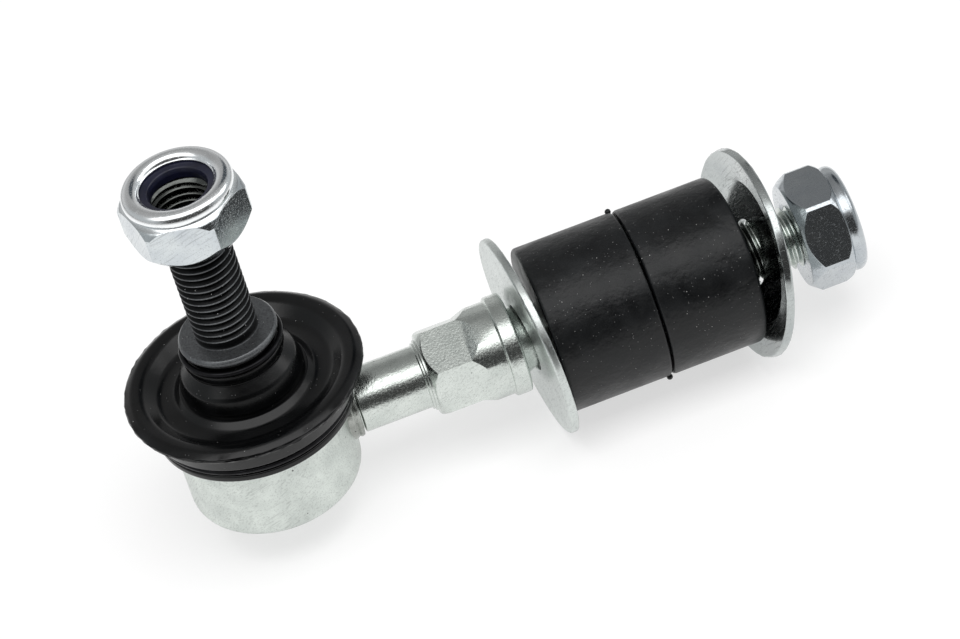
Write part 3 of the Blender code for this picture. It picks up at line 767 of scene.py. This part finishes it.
def zinc(name, light, dark, smooth, rough, grain_scale, bump, scratched, pits, calm_from=500.0):
    """Zinc plating between two colours and two roughnesses, with grain, hairlines and pits.

    Beyond a distance along the rod, in millimetres, the grain is calm.
    """
    material, tree, shader = new_finish(name)
    shader.inputs["Metallic"].default_value = 1.0
    cloudy = group_node(tree, grain, Scale=260.0, Detail=5.0, Low=0.3, High=0.7)
    fine = group_node(tree, grain, Scale=grain_scale, Detail=3.0, Low=0.25, High=0.75)
    marked = group_node(tree, hairlines, Scale=5200.0, Stretch=0.03, Low=0.56, High=0.70)
    pitted = group_node(tree, specks, Scale=620.0, Size=0.09, Share=pits)
    colour = mixed(tree, (cloudy, "Mask"), light, dark)
    colour = mixed(tree, (pitted, "Mask"), (colour, "Result"), (0.10, 0.10, 0.10, 1))
    dimmed = maths(tree, "MULTIPLY", (marked, "Mask"), 0.22)
    colour = mixed(tree, (dimmed, "Value"), (colour, "Result"), (0.15, 0.15, 0.15, 1))
    tree.links.new(colour.outputs["Result"], shader.inputs["Base Color"])
    sheen = ranged(tree, (fine, "Mask"), 0.0, 1.0, smooth, rough)
    dulled = maths(tree, "MULTIPLY_ADD", (marked, "Mask"), scratched, (sheen, "Result"))
    tree.links.new(dulled.outputs["Value"], shader.inputs["Roughness"])
    lowered = maths(tree, "SUBTRACT", (fine, "Mask"), (pitted, "Mask"))
    parts, _ = place_of(tree)
    lively = ranged(tree, (parts, "X"), calm_from * MM, (calm_from - 1) * MM, 0.1, 1.0)
    height = maths(tree, "MULTIPLY", (lowered, "Value"), (lively, "Result"))
    relief = add(tree, "ShaderNodeBump", Height=(height, "Value"), Strength=bump, Distance=0.00003)
    tree.links.new(relief.outputs["Normal"], shader.inputs["Normal"])
    return material


def tint(material, mask, shade):
    """Lay another colour over a finish where a mask is one."""
    tree = material.node_tree
    base = tree.nodes["Principled BSDF"].inputs["Base Color"]
    source = base.links[0].from_node
    tinted = mixed(tree, mask, (source, "Result"), shade)
    tree.links.new(tinted.outputs["Result"], base)

# %% Make the zinc finishes
satin_zinc = zinc("satin_housing_zinc", (0.72, 0.765, 0.725, 1), (0.56, 0.60, 0.57, 1), 0.28, 0.44,
                  2600.0, 0.45, 0.12, 0.16)
brushed_zinc = zinc("brushed_rod_zinc", (0.69, 0.73, 0.695, 1), (0.57, 0.61, 0.58, 1), 0.12, 0.28,
                    3200.0, 0.45, 0.12, 0.14, calm_from=74.0)
soft_zinc = zinc("soft_washer_zinc", (0.69, 0.73, 0.71, 1), (0.60, 0.64, 0.62, 1), 0.26, 0.36,
                 2600.0, 0.15, 0.12, 0.05)
bright_zinc = zinc("bright_washer_zinc", (0.52, 0.55, 0.54, 1), (0.44, 0.47, 0.47, 1), 0.08, 0.16,
                   2400.0, 0.06, 0.18, 0.03)
nut_zinc = zinc("bright_nut_zinc", (0.68, 0.72, 0.73, 1), (0.56, 0.60, 0.63, 1), 0.07, 0.16,
                2400.0, 0.07, 0.22, 0.05)
weld_zinc = zinc("heat_marked_zinc", (0.52, 0.54, 0.51, 1), (0.25, 0.26, 0.24, 1), 0.18, 0.36,
                 2600.0, 0.50, 0.12, 0.25)
cover(satin_zinc, housing, plate)
cover(brushed_zinc, rod)
cover(weld_zinc, weld)
cover(nut_zinc, stud_nut, rod_nut)
cover(soft_zinc, inner_washer)
cover(bright_zinc, outer_washer)

# %% [markdown]
# ## Painted shade and a painted highlight
# A few places differ from the rest of their piece. The stud nut's bore is darkened as painted shade,
# its rolled collar is lightened as a painted highlight, the rod's nut is a little duller, and the
# thread between the outer bush and its washer is darkened as painted shade. Each place is found by
# its distance from the stud's axis or by its X or Z.

# %% Paint shade into the bore and the sheltered thread, a highlight on the collar, and tint the far nut
tree = nut_zinc.node_tree
parts, reach = place_of(tree)
# Painted shade: the nut's bore is darkened.
bore = ranged(tree, (reach, "Value"), 5.15 * MM, 4.95 * MM)
tint(nut_zinc, (bore, "Result"), (0.10, 0.105, 0.10, 1))
# Painted highlight: the rolled top of the collar is lightened.
rolled = ranged(tree, (parts, "Z"), 57.8 * MM, 58.4 * MM)
off_bore = ranged(tree, (reach, "Value"), 5.2 * MM, 5.4 * MM)
painted_collar_highlight = maths(tree, "MULTIPLY", (rolled, "Result"), (off_bore, "Result"))
tint(nut_zinc, (painted_collar_highlight, "Value"), (0.93, 0.95, 0.96, 1))
far_nut = ranged(tree, (parts, "X"), 80.0 * MM, 81.0 * MM, 0.0, 0.3)
tint(nut_zinc, (far_nut, "Result"), (0.25, 0.27, 0.30, 1))

tree = brushed_zinc.node_tree
parts, reach = place_of(tree)
# Painted shade: the thread between the outer bush and its washer is darkened.
after = ranged(tree, (parts, "X"), 74.0 * MM, 74.5 * MM)
before = ranged(tree, (parts, "X"), 80.4 * MM, 79.4 * MM)
painted_gap_shade = maths(tree, "MULTIPLY", (after, "Result"), (before, "Result"))
tint(brushed_zinc, (painted_gap_shade, "Value"), (0.06, 0.065, 0.06, 1))
print("tinted:", nut_zinc.name, "and", brushed_zinc.name)

# %% [markdown]
# ## Black steel
# The stud is phosphated black. Handling wears the thread's crests and the collar to a grey satin.
# The distance from the stud's axis tells crests from roots, so it drives the wear.

# %% Make the black steel
def black_steel():
    """Dark phosphated steel with grey wear on thread crests and collar."""
    material, tree, shader = new_finish("black_phosphated_steel")
    shader.inputs["Metallic"].default_value = 0.8
    _, reach = place_of(tree)
    crest = ranged(tree, (reach, "Value"), 4.80 * MM, 4.93 * MM)
    fine = group_node(tree, grain, Scale=3600.0, Detail=3.0, Low=0.25, High=0.75)
    patchy = ranged(tree, (fine, "Mask"), 0.0, 1.0, 0.45, 1.0)
    worn = maths(tree, "MULTIPLY", (crest, "Result"), (patchy, "Result"))
    dusty = group_node(tree, specks, Scale=1500.0, Size=0.12, Share=0.14)
    colour = mixed(tree, (worn, "Value"), (0.006, 0.0065, 0.007, 1), (0.17, 0.178, 0.185, 1))
    colour = mixed(tree, (dusty, "Mask"), (colour, "Result"), (0.45, 0.45, 0.45, 1))
    tree.links.new(colour.outputs["Result"], shader.inputs["Base Color"])
    sheen = ranged(tree, (fine, "Mask"), 0.0, 1.0, 0.26, 0.42)
    tree.links.new(sheen.outputs["Result"], shader.inputs["Roughness"])
    relief = add(tree, "ShaderNodeBump", Height=(fine, "Mask"), Strength=0.25, Distance=0.00003)
    tree.links.new(relief.outputs["Normal"], shader.inputs["Normal"])
    return material


cover(black_steel(), stud)

# %% [markdown]
# ## Rubber
# The boot is a glossy moulded rubber, the bushes are matte. Both carry pale specks of dust. Rubber is
# not a metal: its own colour is almost black, and what shows is mostly the gloss on top.

# %% Make the two rubbers
def rubber(name, dark, pale, smooth, rough, bump, uneven, dust):
    """Black rubber between two shades, with a soft relief and specks of dust."""
    material, tree, shader = new_finish(name)
    shader.inputs["Specular IOR Level"].default_value = 0.36
    cloudy = group_node(tree, grain, Scale=260.0, Detail=4.0, Low=0.35, High=0.7)
    fine = group_node(tree, grain, Scale=1500.0, Detail=3.0, Low=0.3, High=0.7)
    dusty = group_node(tree, specks, Scale=2100.0, Size=0.13, Share=dust)
    flecked = group_node(tree, specks, Scale=950.0, Size=0.065, Share=dust)
    colour = mixed(tree, (cloudy, "Mask"), dark, pale)
    colour = mixed(tree, (dusty, "Mask"), (colour, "Result"), (0.12, 0.12, 0.12, 1))
    colour = mixed(tree, (flecked, "Mask"), (colour, "Result"), (0.32, 0.32, 0.31, 1))
    tree.links.new(colour.outputs["Result"], shader.inputs["Base Color"])
    sheen = ranged(tree, (cloudy, "Mask"), 0.0, 1.0, smooth, rough)
    tree.links.new(sheen.outputs["Result"], shader.inputs["Roughness"])
    both = maths(tree, "MULTIPLY_ADD", (cloudy, "Mask"), uneven, (fine, "Mask"))
    relief = add(tree, "ShaderNodeBump", Height=(both, "Value"), Strength=bump, Distance=0.00004)
    tree.links.new(relief.outputs["Normal"], shader.inputs["Normal"])
    return material


boot_rubber = rubber("glossy_boot_rubber", (0.0008, 0.0009, 0.001, 1), (0.002, 0.0022, 0.0026, 1),
                     0.18, 0.28, 0.10, 2.0, 0.10)
bush_rubber = rubber("matte_bush_rubber", (0.0020, 0.0024, 0.0028, 1), (0.0060, 0.0068, 0.0075, 1),
                     0.32, 0.46, 0.45, 5.0, 0.34)
cover(boot_rubber, boot_skirt, boot_dome)
cover(bush_rubber, inner_bush, outer_bush)

# %% [markdown]
# ## Plastics and wire
# The ring in each nut is dyed nylon. The ball's seat is hidden inside the housing and keeps its CAD
# shape, with a pale plastic. The wire rings are dark oiled spring steel.

# %% Make the plastics and the wire
def plastic(name, light, dark, smooth, rough):
    """A plastic with a slight unevenness of colour and gloss."""
    material, tree, shader = new_finish(name)
    cloudy = group_node(tree, grain, Scale=500.0, Detail=3.0, Low=0.3, High=0.7)
    colour = mixed(tree, (cloudy, "Mask"), light, dark)
    tree.links.new(colour.outputs["Result"], shader.inputs["Base Color"])
    sheen = ranged(tree, (cloudy, "Mask"), 0.0, 1.0, smooth, rough)
    tree.links.new(sheen.outputs["Result"], shader.inputs["Roughness"])
    return material


blue_nylon = plastic("dark_blue_nylon", (0.008, 0.009, 0.026, 1), (0.004, 0.0045, 0.012, 1), 0.28, 0.45)
cover(blue_nylon, stud_nut_ring, rod_nut_ring)
pale_plastic = plastic("pale_seat_plastic", (0.70, 0.69, 0.64, 1), (0.62, 0.61, 0.57, 1), 0.35, 0.50)
cover(pale_plastic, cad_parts["ball_seat"])
spring_wire = plastic("oiled_spring_wire", (0.02, 0.02, 0.022, 1), (0.01, 0.01, 0.011, 1), 0.25, 0.40)
spring_wire.node_tree.nodes["Principled BSDF"].inputs["Metallic"].default_value = 0.9
cover(spring_wire, lower_wire, upper_wire)

# %% [markdown]
# ## The studio
# The photograph is a product shot in a white tent: pale ground, a bright panel overhead, a dark gap
# where the camera looks in, a second gap behind and a small window at the right. Metal shows all of
# that, so the world is drawn as that tent. The camera itself sees plain white, metal sees the tent,
# and the rest gets an even light.

# %% Draw the white tent
def towards(tree, where, direction, inner, outer):
    """A round patch of the world about a direction, soft between two cosines."""
    dot = add(tree, "ShaderNodeVectorMath", {"operation": "DOT_PRODUCT"}, _0=(where, "Generated"),
              _1=Vector(direction).normalized())
    return ranged(tree, (dot, "Value"), outer, inner, easing="SMOOTHSTEP")


def tent():
    """A world that is white to the camera, a tent to reflections and even light to the rest."""
    world = bpy.data.worlds.new("white_tent")
    bpy.context.scene.world = world
    world.use_nodes = True
    tree = world.node_tree
    tree.nodes.clear()
    where = add(tree, "ShaderNodeTexCoord")
    parts = add(tree, "ShaderNodeSeparateXYZ", Vector=(where, "Generated"))
    front = maths(tree, "MULTIPLY", (parts, "Y"), -1.0)
    angle = maths(tree, "ARCTAN2", (parts, "Z"), (front, "Value"))
    turn_share = maths(tree, "MULTIPLY_ADD", (angle, "Value"), 1 / (2 * pi), 0.5)
    ramp = add(tree, "ShaderNodeValToRGB", Fac=(turn_share, "Value"))
    stops = [(0.0, 0.50), (0.12, 0.60), (0.25, 0.80), (0.44, 0.75), (0.48, 0.25), (0.50, 0.06),
             (0.60, 0.06), (0.63, 0.40), (0.652, 2.2), (0.722, 2.2), (0.748, 0.55), (0.79, 0.38),
             (0.835, 0.34), (0.875, 0.30), (0.905, 0.36), (0.95, 0.55)]
    points = ramp.color_ramp.elements
    while len(points) < len(stops):
        points.new(0.5)
    for point, (at, level) in zip(points, stops):
        point.position = at
        point.color = (level, level, level, 1)
    side = maths(tree, "ABSOLUTE", (parts, "X"))
    sideways = ranged(tree, (side, "Value"), 0.55, 0.95, easing="SMOOTHSTEP")
    panels = mixed(tree, (sideways, "Result"), (ramp, "Color"), (0.45, 0.47, 0.48, 1))
    gap = towards(tree, where, (0.46, 0.66, 0.60), 0.985, 0.945)
    panels = mixed(tree, (gap, "Result"), (panels, "Result"), (0.06, 0.07, 0.08, 1))
    window = towards(tree, where, (0.87, -0.03, 0.46), 0.985, 0.965)
    panels = mixed(tree, (window, "Result"), (panels, "Result"), (1.9, 1.9, 1.9, 1))
    light = add(tree, "ShaderNodeLightPath")
    mirror = maths(tree, "MAXIMUM", (light, "Is Glossy Ray"), (light, "Is Transmission Ray"))
    even = mixed(tree, (mirror, "Value"), (0.62, 0.62, 0.62, 1), (panels, "Result"))
    seen = mixed(tree, (light, "Is Camera Ray"), (even, "Result"), (1, 1, 1, 1))
    glow = add(tree, "ShaderNodeBackground", Color=(seen, "Result"), Strength=1.0)
    end = add(tree, "ShaderNodeOutputWorld")
    tree.links.new(glow.outputs["Background"], end.inputs["Surface"])


tent()
print("world:", bpy.context.scene.world.name)

# %% [markdown]
# ## Floor and lamp
# A plain pale floor lies just under the lowest point. It glows a little to the camera and to mirrors,
# so that it reads as white paper, and it still takes the soft shadow of one large lamp overhead.

# %% Lay the floor and hang the lamp
def paper_floor(height):
    """A pale floor that keeps the object's shadow."""
    deselect()
    bpy.ops.mesh.primitive_plane_add(size=4.0, location=(0, 0, height * MM))
    floor = bpy.context.object
    floor.name = "paper_floor"
    material, tree, shader = new_finish("white_paper")
    shader.inputs["Base Color"].default_value = (0.38, 0.38, 0.38, 1)
    shader.inputs["Roughness"].default_value = 0.9
    shader.inputs["Specular IOR Level"].default_value = 0.1
    shader.inputs["Emission Color"].default_value = (1, 1, 1, 1)
    where = add(tree, "ShaderNodeTexCoord")
    reach = add(tree, "ShaderNodeVectorMath", {"operation": "LENGTH"}, _0=(where, "Object"))
    camera_lift = ranged(tree, (reach, "Value"), 0.10, 0.45, 0.61, 0.92)
    mirror_lift = ranged(tree, (reach, "Value"), 0.12, 0.40, 0.60, 0.05)
    light = add(tree, "ShaderNodeLightPath")
    mirror = maths(tree, "MAXIMUM", (light, "Is Glossy Ray"), (light, "Is Transmission Ray"))
    mirrored = maths(tree, "MULTIPLY", (mirror, "Value"), (mirror_lift, "Result"))
    lift = maths(tree, "MULTIPLY_ADD", (light, "Is Camera Ray"), (camera_lift, "Result"),
                 (mirrored, "Value"))
    tree.links.new(lift.outputs["Value"], shader.inputs["Emission Strength"])
    cover(material, floor)
    return floor


paper_floor(-7.9)
bpy.ops.object.light_add(type="AREA", location=(0.05, -0.25, 0.75))
lamp = bpy.context.object
lamp.name = "overhead_panel"
lamp.data.shape = "RECTANGLE"
lamp.data.size = 0.7
lamp.data.size_y = 0.45
lamp.data.energy = 4.6
lamp.rotation_euler = (Vector((0.04, 0, 0.02)) - lamp.location).to_track_quat("-Z", "Y").to_euler()
lamp.visible_glossy = False
print("lamp:", lamp.data.energy, "watts")

# %% [markdown]
# ## Camera
# The camera looks down on the link from the front with a long lens, and it is rolled, as the
# photograph is. Its three axes and its place were worked out from points that show in the photo.

# %% Set the camera
def photo_camera():
    """The camera of the photograph, from its angles, distance and lens."""
    azimuth, elevation, roll = (radians(a) for a in (-6.342, 40.459, -16.546))
    back = Vector((sin(azimuth) * cos(elevation), -cos(azimuth) * cos(elevation), sin(elevation)))
    level = Vector((cos(azimuth), sin(azimuth), 0))
    right = cos(roll) * level + sin(roll) * back.cross(level)
    top = back.cross(right)
    location = Vector((-15.31, -467.97, 416.82)) * MM
    camera = bpy.data.objects.new("photo_camera", bpy.data.cameras.new("photo_camera"))
    bpy.context.scene.collection.objects.link(camera)
    camera.matrix_world = Matrix.Translation(location) @ Matrix((right, top, back)).transposed().to_4x4()
    focal_pixels = 4073.9
    photo_width = 960
    camera.data.lens = focal_pixels * camera.data.sensor_width / photo_width
    camera.data.clip_start = 0.01
    bpy.context.scene.camera = camera
    print("lens", round(camera.data.lens, 1), "mm")


photo_camera()
bpy.context.scene.view_settings.view_transform = "Standard"
